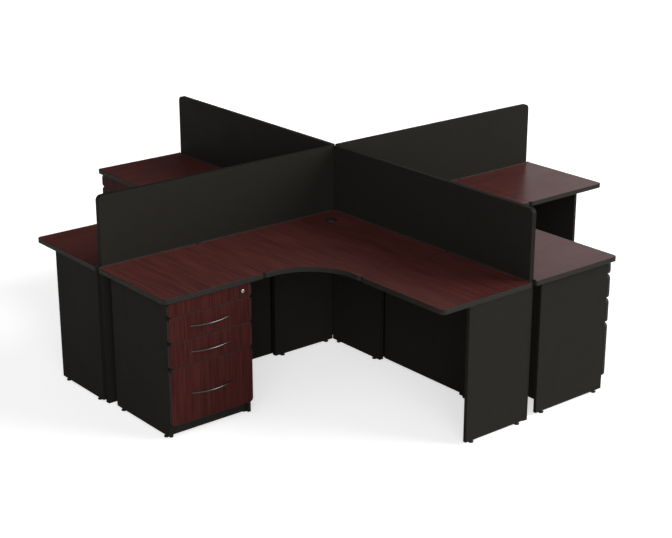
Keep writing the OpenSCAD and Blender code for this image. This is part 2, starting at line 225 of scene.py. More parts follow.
class WorkstationFinish(bpy.types.PropertyGroup):
    """Colours of the finishes."""

    mahogany_dark: tint("Mahogany, dark", (0.0450, 0.0115, 0.0100), "Dark streaks of the wood print")
    mahogany: tint("Mahogany", (0.0660, 0.0172, 0.0146), "Middle tone of the wood print")
    mahogany_light: tint("Mahogany, light", (0.0880, 0.0228, 0.0192), "Light streaks of the wood print")
    charcoal: tint("Charcoal", (0.0163, 0.0149, 0.0128), "Laminate of the panels")
    edge: tint("Edge band", (0.0190, 0.0178, 0.0154), "Band on the boards' edges")
    drawer_box: tint("Drawer box", (0.33, 0.32, 0.30), "Foil on the drawer boxes")
    # The pulls' tint is darker than their satin metal, as painted shade for the dark surroundings that
    # they mirror
    metal: tint("Pulls", (0.120, 0.117, 0.110), "Dark satin metal of the bow pulls")
    lock_metal: tint("Lock", (0.82, 0.81, 0.79), "Bright metal of the locks")
    runner: tint("Runners", (0.42, 0.42, 0.41), "Powder coat on the drawer runners")
    plastic: tint("Plastic", (0.016, 0.016, 0.015), "Feet and grommets")


class WorkstationStage(bpy.types.PropertyGroup):
    """Camera, lamps and floor."""

    azimuth: FloatProperty(
        name="Azimuth", description="Direction of the camera, turned from a look along +Y",
        default=math.radians(50.68), subtype="ANGLE")
    elevation: FloatProperty(
        name="Elevation", description="Camera's angle above the horizon",
        default=math.radians(19.71), subtype="ANGLE")
    camera_at: FloatVectorProperty(
        name="Camera", description="Place of the camera", subtype="XYZ",
        size=3, default=(6.392, -5.226, 3.349), unit="LENGTH")
    lens: FloatProperty(
        name="Lens", description="Focal length on a 36 mm wide sensor, in millimetres",
        default=82.73, min=10, unit="CAMERA")
    sky: strength("Sky", 0.14, "Strength of the even light from all sides")
    dim: strength("Dark side", 0.02, "White of the dark side of the studio in a reflection")
    window: strength("Window", 0.54, "White of the bright side of the studio in a reflection")
    key: strength("Key light", 3.45, "Strength of the soft light from the right")
    fill: strength("Low fill light", 1.85, "Strength of the low light from the camera's side")
    high_fill: strength("High fill light", 0.30, "Strength of the high light from the camera's left")
    floor_glow: strength("Floor's white", 0.62,
                         "White that the camera sees on the floor beside its light")


def sizes():
    return bpy.context.scene.workstation_sizes


def finish():
    return bpy.context.scene.workstation_finish


def stage_settings():
    return bpy.context.scene.workstation_stage


# Outlines


def round_path(corners):
    """A closed outline through corners (u, v, radius), counter-clockwise, with an arc at each."""
    path = []
    count = len(corners)
    for i, (u, v, radius) in enumerate(corners):
        here = Vector((u, v))
        if radius <= 0:
            path.append(here)
            continue
        before = (Vector(corners[i - 1][:2]) - here).normalized()
        after = (Vector(corners[(i + 1) % count][:2]) - here).normalized()
        half = before.angle(after) / 2
        reach = radius / math.tan(half)
        centre = here + (before + after).normalized() * (radius / math.sin(half))
        start = here + before * reach - centre
        sweep = math.pi - 2 * half
        if before.x * after.y - before.y * after.x > 0:
            sweep = -sweep
        steps = CORNER_STEPS + round(CORNER_GROWTH * math.sqrt(radius))
        for s in range(steps + 1):
            turn = Matrix.Rotation(sweep * s / steps, 2)
            path.append(centre + turn @ start)
    return path


def rectangle(u0, v0, u1, v1, radii=(0, 0, 0, 0)):
    """A rectangle with radii for its low-low, high-low, high-high and low-high corners."""
    return round_path([(u0, v0, radii[0]), (u1, v0, radii[1]), (u1, v1, radii[2]), (u0, v1, radii[3])])


def circle(u, v, radius, steps=40):
    turns = [2 * math.pi * i / steps for i in range(steps)]
    return [Vector((u + radius * math.cos(a), v + radius * math.sin(a))) for a in turns]


def inset(path, depths):
    """The outline moved inwards, by one depth for each of its points."""
    count = len(path)
    moved = []
    for i, here in enumerate(path):
        edge_in = (here - path[i - 1]).normalized()
        edge_out = (path[(i + 1) % count] - here).normalized()
        n_in = Vector((-edge_in.y, edge_in.x))
        n_out = Vector((-edge_out.y, edge_out.x))
        moved.append(here + (n_in + n_out) * (depths[i] / (1 + n_in.dot(n_out))))
    return moved


# Shapes


def axes(origin, u, v, w):
    """The place of a board: local u, v and w point along these axes from the origin."""
    place = Matrix.Identity(4)
    for column, axis in enumerate((u, v, w)):
        place.col[column] = (*axis, 0)
    place.col[3] = (*origin, 1)
    return place


def lying(z):
    """For a board that lies flat, with its underside at z."""
    return axes((0, 0, z), (1, 0, 0), (0, 1, 0), (0, 0, 1))


def facing_x(x):
    """For a board across X: u is Y and v is Z, and it grows from x towards +X."""
    return axes((x, 0, 0), (0, 1, 0), (0, 0, 1), (1, 0, 0))


def facing_y(y):
    """For a board across Y: u is X and v is Z, and it grows from y towards -Y."""
    return axes((0, y, 0), (1, 0, 0), (0, 0, 1), (0, -1, 0))


class Shape:
    """A mesh under construction: points with the place that their grain is read at, and faces."""

    def __init__(self, grain=(0, 1, 2), shift=0.0):
        self.points = []
        self.grain_at = []
        self.rims = []
        self.faces = []
        self.slots = []
        self.grain = grain
        self.shift = shift

    def point(self, place, at, rim=0.0):
        here = place @ Vector(at)
        self.points.append(here)
        along, across, through = (here[i] for i in self.grain)
        self.grain_at.append((along + self.shift, across + self.shift * ACROSS_SHIFT, through))
        self.rims.append(rim)
        return len(self.points) - 1

    def face(self, corners, slot=FACE):
        self.faces.append(tuple(corners))
        self.slots.append(slot)

    def ring(self, place, path, w, rim=0.0):
        return [self.point(place, (p.x, p.y, w), rim) for p in path]

    def bridge(self, first, second, slots=FACE):
        """Quads from one ring to the next. Slots is one number, or one for each edge."""
        count = len(first)
        for i in range(count):
            j = (i + 1) % count
            slot = slots if isinstance(slots, int) else slots[i]
            self.face((first[i], first[j], second[j], second[i]), slot)

    def fill(self, loops, flip=False):
        """A flat face inside the first loop, less the others."""
        if len(loops) == 1:
            self.face(reversed(loops[0]) if flip else loops[0])
            return
        work = bmesh.new()
        made = {}
        for loop in loops:
            ring = []
            for index in loop:
                corner = work.verts.new(self.points[index])
                made[corner] = index
                ring.append(corner)
            for i, corner in enumerate(ring):
                work.edges.new((corner, ring[(i + 1) % len(ring)]))
        want = self.facing(loops[0])
        if flip:
            want.negate()
        bmesh.ops.triangle_fill(work, edges=work.edges[:], use_beauty=True)
        for triangle in work.faces:
            triangle.normal_update()
            corners = [made[c] for c in triangle.verts]
            if triangle.normal.dot(want) < 0:
                corners.reverse()
            self.face(corners)
        work.free()

    def facing(self, loop):
        """The direction that a loop of points faces."""
        total = Vector()
        for i, index in enumerate(loop):
            total += self.points[index].cross(self.points[loop[(i + 1) % len(loop)]])
        return total.normalized()

    def board(self, path, thick, place, band=0.0, radius=None, holes=(), cover=None):
        """A board with the outline path, rounded along its edges, and with a band of that width.
        Cover says how much of its band and round-over an outline point keeps, from 0 to 1."""
        radius = sizes().round_over if radius is None else radius
        count = len(path)
        keep = [max(BARE, cover(p)) if cover else 1.0 for p in path]
        slots = []
        for i in range(count):
            bare = keep[i] <= BARE and keep[(i + 1) % count] <= BARE
            slots.append(EDGE if band > 0 and not bare else FACE)
        levels = []
        for s in range(ROUND_OVER_STEPS + 1):
            a = QUARTER * s / ROUND_OVER_STEPS
            levels.append((radius * (1 - math.sin(a)), radius * (1 - math.cos(a)), math.sin(2 * a)))
        levels += [(depth, thick - w, r) for depth, w, r in reversed(levels)]
        rings = []
        for depth, w, worn in levels:
            rings.append(self.ring(place, inset(path, [depth * k for k in keep]), w, worn))
        for first, second in zip(rings, rings[1:]):
            self.bridge(first, second, slots)
        under, over = [rings[0]], [rings[-1]]
        if band > radius:
            inner = inset(path, [band * k for k in keep])
            under, over = [self.ring(place, inner, 0.0)], [self.ring(place, inner, thick)]
            self.bridge(under[0], rings[0], slots)
            self.bridge(rings[-1], over[0], slots)
        for hole in holes:
            bottom = self.ring(place, hole, 0.0)
            top = self.ring(place, hole, thick)
            self.bridge(top, bottom)
            under.append(bottom)
            over.append(top)
        self.fill(under, flip=True)
        self.fill(over)
        return self

    def block(self, a, b, radius=BLOCK_EASE):
        """A box from corner a to corner b with eased edges."""
        return self.board(rectangle(a[0], a[1], b[0], b[1]), b[2] - a[2], lying(a[2]), radius=radius)

    def prism(self, section, place, length):
        """A straight bar with sharp edges, its section given as corners (u, v)."""
        path = [Vector(corner) for corner in section]
        first = self.ring(place, path, 0.0)
        second = self.ring(place, path, length)
        self.bridge(first, second)
        self.fill([first], flip=True)
        self.fill([second])
        return self

    def mirrored(self, middle_y):
        """Adds the shape's mirror image on the other side of the plane at middle_y."""
        count = len(self.points)
        for i in range(count):
            x, y, z = self.points[i]
            self.points.append(Vector((x, 2 * middle_y - y, z)))
            self.grain_at.append(tuple(c + MIRROR_SHIFT for c in self.grain_at[i]))
            self.rims.append(self.rims[i])
        for corners, slot in list(zip(self.faces, self.slots)):
            self.face([i + count for i in reversed(corners)], slot)
        return self

    def lathe(self, profile, place, steps=TURNED_STEPS):
        """A turned form about the place's w axis. Profile is points (radius, w)."""
        rings = []
        for radius, w in profile:
            if radius <= 0:
                rings.append([self.point(place, (0, 0, w))])
            else:
                rings.append(self.ring(place, circle(0, 0, radius, steps), w))
        for first, second in zip(rings, rings[1:]):
            for i in range(steps):
                j = (i + 1) % steps
                if len(first) == 1:
                    self.face((first[0], second[j], second[i]))
                elif len(second) == 1:
                    self.face((first[i], first[j], second[0]))
                else:
                    self.face((first[i], first[j], second[j], second[i]))
        return self

    def tube(self, sections):
        """A closed bar through sections, each a ring of points."""
        here = Matrix.Identity(4)
        rings = [[self.point(here, p) for p in ring] for ring in sections]
        for first, second in zip(rings, rings[1:]):
            self.bridge(first, second)
        self.face(reversed(rings[0]))
        self.face(rings[-1])
        return self


def piece(name, shape, quarter, body, materials, replaces=()):
    """Makes the shape an object, turned to its station, and fixes it to its body."""
    mesh = bpy.data.meshes.new(name)
    turn = Matrix.Rotation(QUARTER * quarter, 4, "Z")
    mesh.from_pydata([turn @ p for p in shape.points], [], shape.faces)
    for look in materials:
        mesh.materials.append(look)
    mesh.polygons.foreach_set("material_index", shape.slots)
    grain = mesh.attributes.new("grain_at", "FLOAT_VECTOR", "POINT")
    grain.data.foreach_set("vector", [x for at in shape.grain_at for x in at])
    rims = mesh.attributes.new("rim", "FLOAT", "POINT")
    rims.data.foreach_set("value", shape.rims)
    mesh.polygons.foreach_set("use_smooth", [True] * len(mesh.polygons))
    mesh.update()
    made = bpy.data.objects.new(name, mesh)
    bpy.context.scene.collection.objects.link(made)
    shading = made.modifiers.new("even shading", "WEIGHTED_NORMAL")
    shading.weight = 100
    shading.keep_sharp = True
    mesh.set_sharp_from_angle(angle=SHARP)
    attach(made, body)
    if replaces:
        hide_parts(*replaces)
    return made


# Node groups and materials


def new_group(name, inputs, outputs):
    """An empty shader node group with named sockets, its outputs all numbers. It comes as (its
    wiring, the sockets that it is given, the sockets of its result)."""
    group = bpy.data.node_groups.new(name, "ShaderNodeTree")
    for label, kind, default in inputs:
        socket = group.interface.new_socket(name=label, in_out="INPUT", socket_type=kind)
        if default is not None:
            socket.default_value = default
    for label in outputs:
        group.interface.new_socket(name=label, in_out="OUTPUT", socket_type="NodeSocketFloat")
    w = Wiring(group)
    return w, w.node("NodeGroupInput").outputs, w.node("NodeGroupOutput").inputs


# Sockets of a node that mixes colours, by number because their names repeat
MIX_FROM, MIX_TO, MIXED = 6, 7, 2


class Wiring:
    """Short forms for placing and joining nodes in one tree."""

    def __init__(self, tree):
        self.tree = tree

    def node(self, kind, **settings):
        made = self.tree.nodes.new(kind)
        for name, value in settings.items():
            setattr(made, name, value)
        return made

    def join(self, source, target):
        self.tree.links.new(source, target)

    def value(self, target, source):
        if isinstance(source, bpy.types.NodeSocket):
            self.join(source, target)
        else:
            target.default_value = source

    def math(self, operation, a, b=0.0):
        made = self.node("ShaderNodeMath", operation=operation)
        self.value(made.inputs[0], a)
        self.value(made.inputs[1], b)
        return made.outputs[0]

    def level(self, mask, rise, start):
        """The start, raised by the rise where the mask is 1."""
        return self.math("ADD", self.math("MULTIPLY", mask, rise), start)

    def scaled(self, vector, scale):
        made = self.node("ShaderNodeVectorMath", operation="MULTIPLY")
        self.join(vector, made.inputs[0])
        made.inputs[1].default_value = scale
        return made.outputs[0]

    def noise(self, vector, scale=1.0, detail=2.0, roughness=0.5):
        made = self.node("ShaderNodeTexNoise")
        self.join(vector, made.inputs["Vector"])
        made.inputs["Scale"].default_value = scale
        made.inputs["Detail"].default_value = detail
        made.inputs["Roughness"].default_value = roughness
        return made.outputs["Fac"]

    def band(self, value, from_low, from_high, to_low=0.0, to_high=1.0):
        made = self.node("ShaderNodeMapRange", clamp=True)
        self.join(value, made.inputs["Value"])
        for name, number in (("From Min", from_low), ("From Max", from_high),
                             ("To Min", to_low), ("To Max", to_high)):
            made.inputs[name].default_value = number
        return made.outputs["Result"]

    def mix(self, amount, a, b):
        made = self.node("ShaderNodeMix", data_type="RGBA")
        self.value(made.inputs[0], amount)
        self.value(made.inputs[MIX_FROM], a)
        self.value(made.inputs[MIX_TO], b)
        return made.outputs[MIXED]

    def veil(self, under, mask, share, over):
        """The colour under, with that share of the colour over laid on it where the mask is 1."""
        return self.mix(self.math("MULTIPLY", mask, share), under, over)

    def group(self, wiring, **inputs):
        """Places another wiring's node group and gives its outputs."""
        made = self.node("ShaderNodeGroup", node_tree=wiring.tree)
        for name, value in inputs.items():
            self.value(made.inputs[name], value)
        return made.outputs


# The wood print's layers, from broad to fine: waves per metre along and across the grain, detail
# and share
WOOD_LAYERS = (
    ((0.5, 12, 12), 0, 0.10),
    ((2.4, 80, 80), 0, 0.34),
    ((4.5, 175, 175), 0, 0.38),
    ((12, 380, 380), 1, 0.18),
)
# Waves per metre of the slow drift that bends the grain, and of the pores
DRIFT_WAVES = (0.6, 1.6, 1.6)
PORE_WAVES = (24, 900, 900)
# How far the drift bends the grain, in metres
GRAIN_BEND = 0.016


@cache
def wood_print():
    """The printed figure of a straight-grained wood, read at a place in metres, grain along X."""
    w, given, result = new_group("wood print", [("Place", "NodeSocketVector", None)],
                                 ["Figure", "Pores", "Relief"])
    drift = w.noise(w.scaled(given["Place"], DRIFT_WAVES), detail=0)
    bend = w.node("ShaderNodeCombineXYZ")
    w.join(w.math("MULTIPLY", w.math("SUBTRACT", drift, 0.5), GRAIN_BEND), bend.inputs["Y"])
    bent = w.node("ShaderNodeVectorMath", operation="ADD")
    w.join(given["Place"], bent.inputs[0])
    w.join(bend.outputs[0], bent.inputs[1])
    layers = []
    figure = 0.0
    for waves, detail, share in WOOD_LAYERS:
        layers.append(w.noise(w.scaled(bent.outputs[0], waves), detail=detail))
        figure = w.math("ADD", figure, w.math("MULTIPLY", layers[-1], share))
    w.join(w.band(figure, 0.38, 0.62), result["Figure"])
    line, fine = layers[2:]
    ticks = w.band(w.noise(w.scaled(bent.outputs[0], PORE_WAVES), detail=1), 0.56, 0.68)
    pores = w.math("MULTIPLY", ticks, w.band(line, 0.40, 0.62, 1.0, 0.25))
    w.join(pores, result["Pores"])
    w.join(w.math("SUBTRACT", w.math("MULTIPLY", fine, 0.4), pores), result["Relief"])
    return w


@cache
def handling():
    """Faint smears and dust that change a surface's gloss, and wear along its rims."""
    w, given, result = new_group(
        "handling", [("Place", "NodeSocketVector", None), ("Rim", "NodeSocketFloat", 0.0)],
        ["Smear", "Wear", "Dust"])
    place = given["Place"]
    w.join(w.band(w.noise(place, scale=5), 0.35, 0.70), result["Smear"])
    nicks = w.band(w.noise(place, scale=95, detail=4, roughness=0.7), 0.50, 0.72)
    w.join(w.math("MULTIPLY", given["Rim"], nicks), result["Wear"])
    w.join(w.band(w.noise(place, scale=420), 0.58, 0.80), result["Dust"])
    return w


@cache
def pebble():
    """The fine pebbled texture of a matt laminate or moulded plastic."""
    w, given, result = new_group(
        "pebble", [("Place", "NodeSocketVector", None), ("Scale", "NodeSocketFloat", 900.0)],
        ["Height", "Mottle"])
    cells = w.node("ShaderNodeTexVoronoi", feature="SMOOTH_F1")
    w.join(given["Place"], cells.inputs["Vector"])
    w.join(given["Scale"], cells.inputs["Scale"])
    fleck = w.noise(given["Place"], scale=1400)
    w.join(w.level(cells.outputs["Distance"], 0.7, w.math("MULTIPLY", fleck, 0.3)), result["Height"])
    mottle = w.noise(given["Place"], scale=26, detail=6, roughness=0.7)
    w.join(w.band(mottle, 0.3, 0.7), result["Mottle"])
    return w


@cache
def brushed():
    """Fine lines of a brushed or drawn metal along X."""
    w, given, result = new_group("brushed", [("Place", "NodeSocketVector", None)],
                                 ["Lines", "Tarnish"])
    lines = w.noise(w.scaled(given["Place"], (60, 60, 2600)), detail=3, roughness=0.6)
    w.join(lines, result["Lines"])
    tarnish = w.noise(given["Place"], scale=55, detail=4, roughness=0.6)
    w.join(w.band(tarnish, 0.35, 0.7), result["Tarnish"])
    return w


def new_material(name, specular=0.5, metallic=0.0):
    """A material with a Principled shader, as (it, its wiring, its shader)."""
    made = bpy.data.materials.new(name)
    made.use_nodes = True
    shader = made.node_tree.nodes["Principled BSDF"]
    shader.inputs["Specular IOR Level"].default_value = specular
    shader.inputs["Metallic"].default_value = metallic
    return made, Wiring(made.node_tree), shader


def dress(w, shader, tone, roughness, height, strength, depth):
    """Joins a finish's colour, roughness and relief to its shader."""
    w.join(tone, shader.inputs["Base Color"])
    w.value(shader.inputs["Roughness"], roughness)
    relief = w.node("ShaderNodeBump")
    relief.inputs["Strength"].default_value = strength
    relief.inputs["Distance"].default_value = depth
    w.join(height, relief.inputs["Height"])
    w.join(relief.outputs[0], shader.inputs["Normal"])


def grain_place(w):
    return w.node("ShaderNodeAttribute", attribute_name="grain_at").outputs["Vector"]


def own_place(w):
    return w.node("ShaderNodeTexCoord").outputs["Object"]


def shades(base, *factors):
    """The base colour times each factor, as colours for a socket."""
    return [(*(c * factor for c in base), 1.0) for factor in factors]


def pebbled(name, specular, cells):
    """Starts a pebbled finish with that many cells per metre, as (material, wiring, shader, place,
    pebble's outputs, handling's outputs)."""
    made, w, shader = new_material(name, specular)
    place = grain_place(w)
    edges = w.node("ShaderNodeAttribute", attribute_name="rim").outputs["Fac"]
    texture = w.group(pebble(), Place=place, Scale=cells)
    return made, w, shader, place, texture, w.group(handling(), Place=place, Rim=edges)


# The default tone of 1.2 is painted light: the worktops are the same laminate as the drawer fronts,
# painted lighter for the light that falls on them from above
def make_mahogany(name, tone=1.2, specular=0.40, gloss=0.285, finer=1.0):
    """Dark red wood print under a satin laminate."""
    made, w, shader = new_material(name, specular)
    tones = finish()
    dark, middle, light = (shades(shade, tone)[0] for shade in (
        tones.mahogany_dark, tones.mahogany, tones.mahogany_light))
    place = grain_place(w)
    printed = w.group(wood_print(), Place=w.scaled(place, (finer,) * 3))
    touch = w.group(handling(), Place=place)
    lower = w.mix(w.band(printed["Figure"], 0.0, 0.5), dark, middle)
    shade = w.mix(w.band(printed["Figure"], 0.5, 1.0), lower, light)
    shade = w.veil(shade, printed["Pores"], share=0.4, over=dark)
    satin = w.level(touch["Smear"], rise=0.04, start=gloss)
    satin = w.level(touch["Dust"], rise=0.05, start=satin)
    dress(w, shader, shade, satin, printed["Relief"], strength=0.2, depth=0.0001)
    return made


def make_mahogany_front_painted_shade(name):
    """The same print on the drawer fronts, finer and more matt, and darker as painted shade: the upright
    fronts get less light than the worktops.
    """
    return make_mahogany(name, tone=0.62, specular=0.03, gloss=0.36, finer=1.35)


def make_charcoal(name):
    """Charcoal laminate with a fine pebble."""
    made, w, shader, _, texture, touch = pebbled(name, specular=0.02, cells=900.0)
    base, mottled, dusty, worn = shades(finish().charcoal, 1, 1.22, 2.5, 3)
    tone = w.veil(base, texture["Mottle"], share=0.5, over=mottled)
    tone = w.veil(tone, touch["Dust"], share=0.12, over=dusty)
    tone = w.veil(tone, touch["Wear"], share=0.1, over=worn)
    satin = w.level(touch["Smear"], rise=0.10, start=0.46)
    dress(w, shader, tone, satin, texture["Height"], strength=0.30, depth=0.0001)
    return made


def make_edge(name, tone=1.0, specular=0.08):
    """Edge band, a little smoother than the laminate."""
    made, w, shader, _, texture, touch = pebbled(name, specular=specular, cells=1500.0)
    base, mottled, worn = shades([c * tone for c in finish().edge], 1, 1.15, 3)
    shade = w.mix(texture["Mottle"], base, mottled)
    shade = w.veil(shade, touch["Wear"], share=0.12, over=worn)
    satin = w.level(touch["Smear"], rise=0.10, start=0.36)
    dress(w, shader, shade, satin, texture["Height"], strength=0.15, depth=0.00008)
    return made


def make_panel_edge(name):
    """The darker band on the dividers, gables and pedestal boards."""
    return make_edge(name, tone=0.72, specular=0.02)


def make_lip_painted_highlight(name):
    """The lip along the worktops' back edges, its edge band lightened as a painted highlight."""
    return make_edge(name, tone=1.7)


def make_box_foil(name):
    """Printed grey foil on the drawer boxes, with faint lines along them."""
    made, w, shader, place, texture, touch = pebbled(name, specular=0.4, cells=1200.0)
    base, lined, dusty = shades(finish().drawer_box, 1, 0.88, 0.7)
    lines = w.noise(w.scaled(place, (2, 140, 140)), detail=3)
    tone = w.mix(w.band(lines, 0.3, 0.7), lined, base)
    tone = w.veil(tone, touch["Dust"], share=0.25, over=dusty)
    satin = w.level(touch["Smear"], rise=0.12, start=0.48)
    dress(w, shader, tone, satin, texture["Height"], strength=0.2, depth=0.0001)
    return made


def make_runner_coat(name):
    """Powder coat on pressed steel."""
    made, w, shader, _, texture, _ = pebbled(name, specular=0.5, cells=700.0)
    base, mottled = shades(finish().runner, 1, 0.85)
    tone = w.mix(texture["Mottle"], base, mottled)
    dress(w, shader, tone, 0.42, texture["Height"], strength=0.35, depth=0.0002)
    return made


def make_plastic(name):
    """Moulded black plastic, a little dusty."""
    made, w, shader, _, texture, touch = pebbled(name, specular=0.5, cells=1100.0)
    tone = w.veil(shades(finish().plastic, 1)[0], touch["Dust"], share=0.4, over=(0.06, 0.058, 0.054, 1))
    satin = w.level(touch["Smear"], rise=0.15, start=0.36)
    dress(w, shader, tone, satin, texture["Height"], strength=0.25, depth=0.00012)
    return made


def make_metal(name, base, roughness, lines_strength, place=grain_place):
    """Brushed metal, its lines read at the place that the function gives."""
    made, w, shader = new_material(name, metallic=1.0)
    lines = w.group(brushed(), Place=place(w))
    bright, dull = shades(base, 1, 0.82)
    dress(w, shader, w.veil(bright, lines["Tarnish"], share=0.5, over=dull),
          w.level(lines["Lines"], rise=0.10, start=roughness), lines["Lines"],
          strength=lines_strength, depth=0.00005)
    return made


def make_pull_metal_painted_shade(name):
    """Satin metal of the bow pulls, darkened as painted shade for the dark surroundings that they mirror.
    """
    return make_metal(name, finish().metal, roughness=0.17, lines_strength=0.15)


def make_lock_metal(name):
    """Bright metal of the lock housings."""
    return make_metal(name, finish().lock_metal, roughness=0.14, lines_strength=0.08)


def make_plug_metal(name):
    """Bright metal of the carried-over plugs, which hold no grain of their own."""
    return make_metal(name, finish().lock_metal, roughness=0.16, lines_strength=0.08, place=own_place)


MATERIAL_MAKERS = {
    "mahogany_laminate": make_mahogany,
    "mahogany_front": make_mahogany_front_painted_shade,
    "charcoal_laminate": make_charcoal,
    "edge_band": make_edge,
    "panel_edge_band": make_panel_edge,
    "back_lip": make_lip_painted_highlight,
    "drawer_box_foil": make_box_foil,
    "pull_metal": make_pull_metal_painted_shade,
    "lock_metal": make_lock_metal,
    "runner_coat": make_runner_coat,
    "black_plastic": make_plastic,
    "grommet_plastic": make_plastic,
    "plug_metal": make_plug_metal,
}


@cache
def material(name):
    return MATERIAL_MAKERS[name](name)


def wood(name="mahogany_laminate"):
    return [material(name), material("edge_band")]


# Pieces


# How far a board's grain is shifted along it, in metres: from station to station, and for some from
# piece to piece or at the first station
TOP_SHIFTS = (1.7, 0.83)
DIVIDER_SHIFT = 2.9
GABLE_SHIFT = 3.1
CORNER_BACK_SHIFT = 1.3
WING_BACK_SHIFT = 1.9
POST_SHIFT = 2.2
CASE_SHIFTS = (0.9, 1.4)
RAIL_SHIFTS = (1.1, 5.3)
DRAWER_SHIFTS = (0.77, 0.29)


class Plan:
    """The front station's planes, in metres, read from the solids."""

    def __init__(self):
        s = sizes()
        top_lo, top_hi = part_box("front_pedestal_top")
        self.under = top_lo.z
        self.over = top_hi.z
        self.back = top_lo.x - s.band
        self.front = top_hi.x + s.band
        self.end = s.band - top_lo.y
        self.seam_far = -top_hi.y
        self.seam_near = -low("front_corner_top").y
        self.case_lo, self.case_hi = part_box("front_pedestal_case")
        self.face = high("front_upper_drawer").x
        self.front_back = self.face - s.front_thick
        self.box_back = low("front_upper_drawer").x
        self.middle_y = (self.case_lo.y + self.case_hi.y) / 2
        self.cavity_lo = self.case_lo.y + s.case_board
        self.cavity_hi = self.case_hi.y - s.case_board
        lock_lo, lock_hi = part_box("front_lock")
        self.lock_y = (lock_lo.y + lock_hi.y) / 2
        self.lock_z = lock_lo.z + s.cam_reach
        self.foot = low("front_end_gable").z


@cache
def plan():
    return Plan()


def box_edges(drawer):
    """Lower and upper edge of a drawer's box."""
    s = sizes()
    lo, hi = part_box(f"front_{drawer}_drawer")
    if drawer == "file":
        return lo.z + s.file_box_up, hi.z - s.file_box_down
    return lo.z + s.box_up, hi.z - s.box_down


def across_y(x, z, y):
    """For a turned form whose axis is along Y, from y towards +Y."""
    return axes((x, y, z), (0, 0, 1), (1, 0, 0), (0, 1, 0))


def upright(x, y, z=0.0):
    """For a turned form whose axis is vertical, from z upwards."""
    return axes((x, y, z), (1, 0, 0), (0, 1, 0), (0, 0, 1))


def towards_front(y, z):
    """For a turned form whose axis is along X, from the middle plane towards a pedestal's front."""
    return axes((0, y, z), (0, 1, 0), (0, 0, 1), (1, 0, 0))


def with_first(quarter, node):
    """The node that stands for all four stations goes with the first station's piece."""
    return [node] if quarter == 0 else []


def panel(name, shape, quarter, replaces=()):
    """A fixed piece of charcoal board."""
    looks = [material("charcoal_laminate"), material("panel_edge_band")]
    return piece(name, shape, quarter, "root", looks, replaces)


class WORKSTATION_OT_worktops(bpy.types.Operator):
    """Twelve worktops: over the pedestal, in the corner and over the return"""

    bl_idname = "workstation.worktops"
    bl_label = "Worktops"

    def execute(self, context):
        s, p = sizes(), plan()
        near, far, end, front, back = p.seam_near, p.seam_far, p.end, p.front, p.back
        bay_radius = near - s.bay_stub - front
        outlines = {
            "pedestal_top": rectangle(back, -end, front, -far,
                                      (s.back_radius, s.nose_radius, s.seam_radius, s.back_radius)),
            "return_top": rectangle(far, -front, end, -back,
                                    (s.seam_radius, s.nose_radius, s.back_radius, s.back_radius)),
            "corner_top": round_path([
                (back, -near, s.back_radius), (front, -near, s.seam_radius),
                (front, -front, bay_radius), (near, -front, s.seam_radius),
                (near, -back, s.back_radius), (back, -back, s.back_radius)]),
        }
        holes = {"corner_top": [circle(s.grommet_at, -s.grommet_at, s.grommet_hole / 2)]}
        for quarter, station in enumerate(STATIONS):
            for number, (part, path) in enumerate(outlines.items()):
                shape = Shape((0, 1, 2), shift=TOP_SHIFTS[0] * quarter + TOP_SHIFTS[1] * number)
                shape.board(path, p.over - p.under, lying(p.under), band=s.band,
                            holes=holes.get(part, ()), cover=self.cover)
                name = f"{station}_{part}"
                nodes = [name]
                if name == "front_corner_top":
                    nodes.append("edge_bands")
                piece(f"{name}_board", shape, quarter, "root", wood(), nodes)
            # The back lips' light colour is a painted highlight along the worktops' back edges
            piece(f"{station}_back_lips", self.lips(), quarter, "root",
                  [material("back_lip")])
        return {"FINISHED"}

    def cover(self, at):
        """How much band and round-over an outline point keeps, less beside a joint."""
        s, p = sizes(), plan()
        reach = JOINT_REACH * s.seam_radius
        along = min(abs(-at.y - p.seam_near), abs(-at.y - p.seam_far)) / reach
        across = min(abs(at.x - p.seam_near), abs(at.x - p.seam_far)) / reach
        return min(1.0, along, max(JOINT_BAND, across))

    def lips(self):
        """Low lips along the back edges of a station's worktops."""
        s, p = sizes(), plan()
        shape = Shape((0, 1, 2))
        for start, stop in ((p.back, p.seam_near), (p.seam_far, p.end)):
            start, stop = start + s.back_radius, stop - s.back_radius
            shape.block((p.back, -stop, p.over), (p.back + s.band, -start, p.over + s.lip_high))
            shape.block((start, -p.back - s.band, p.over), (stop, -p.back, p.over + s.lip_high))
        return shape


class WORKSTATION_OT_dividers(bpy.types.Operator):
    """Four divider panels that meet in a mitre"""

    bl_idname = "workstation.dividers"
    bl_label = "Dividers"

    def execute(self, context):
        s = sizes()
        lo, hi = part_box("front_right_divider")
        thick = hi.y - lo.y
        path = rectangle(0, 0, hi.x, hi.z, (0, 0, s.divider_outer_radius, s.divider_inner_radius))
        for quarter, name in enumerate(DIVIDERS):
            shape = Shape((2, 0, 1), shift=DIVIDER_SHIFT * quarter)
            shape.board(path, thick, facing_y(thick / 2), band=s.band)
            for point in shape.points:
                if point.x < thick:
                    away = abs(point.y)
                    point.x = point.x * (1 - away / thick) + away + lo.x
            panel(f"{name}_panel", shape, quarter, [name])
        return {"FINISHED"}


class WORKSTATION_OT_gables(bpy.types.Operator):
    """End gables, one for each station"""

    bl_idname = "workstation.gables"
    bl_label = "End gables"

    def execute(self, context):
        lo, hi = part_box("front_end_gable")
        for quarter, station in enumerate(STATIONS):
            name = f"{station}_end_gable"
            shape = Shape((2, 1, 0), shift=GABLE_SHIFT * quarter)
            shape.board(rectangle(lo.y, lo.z, hi.y, hi.z), hi.x - lo.x, facing_x(lo.x), band=sizes().band)
            panel(f"{name}_board", shape, quarter, [name])
        return {"FINISHED"}


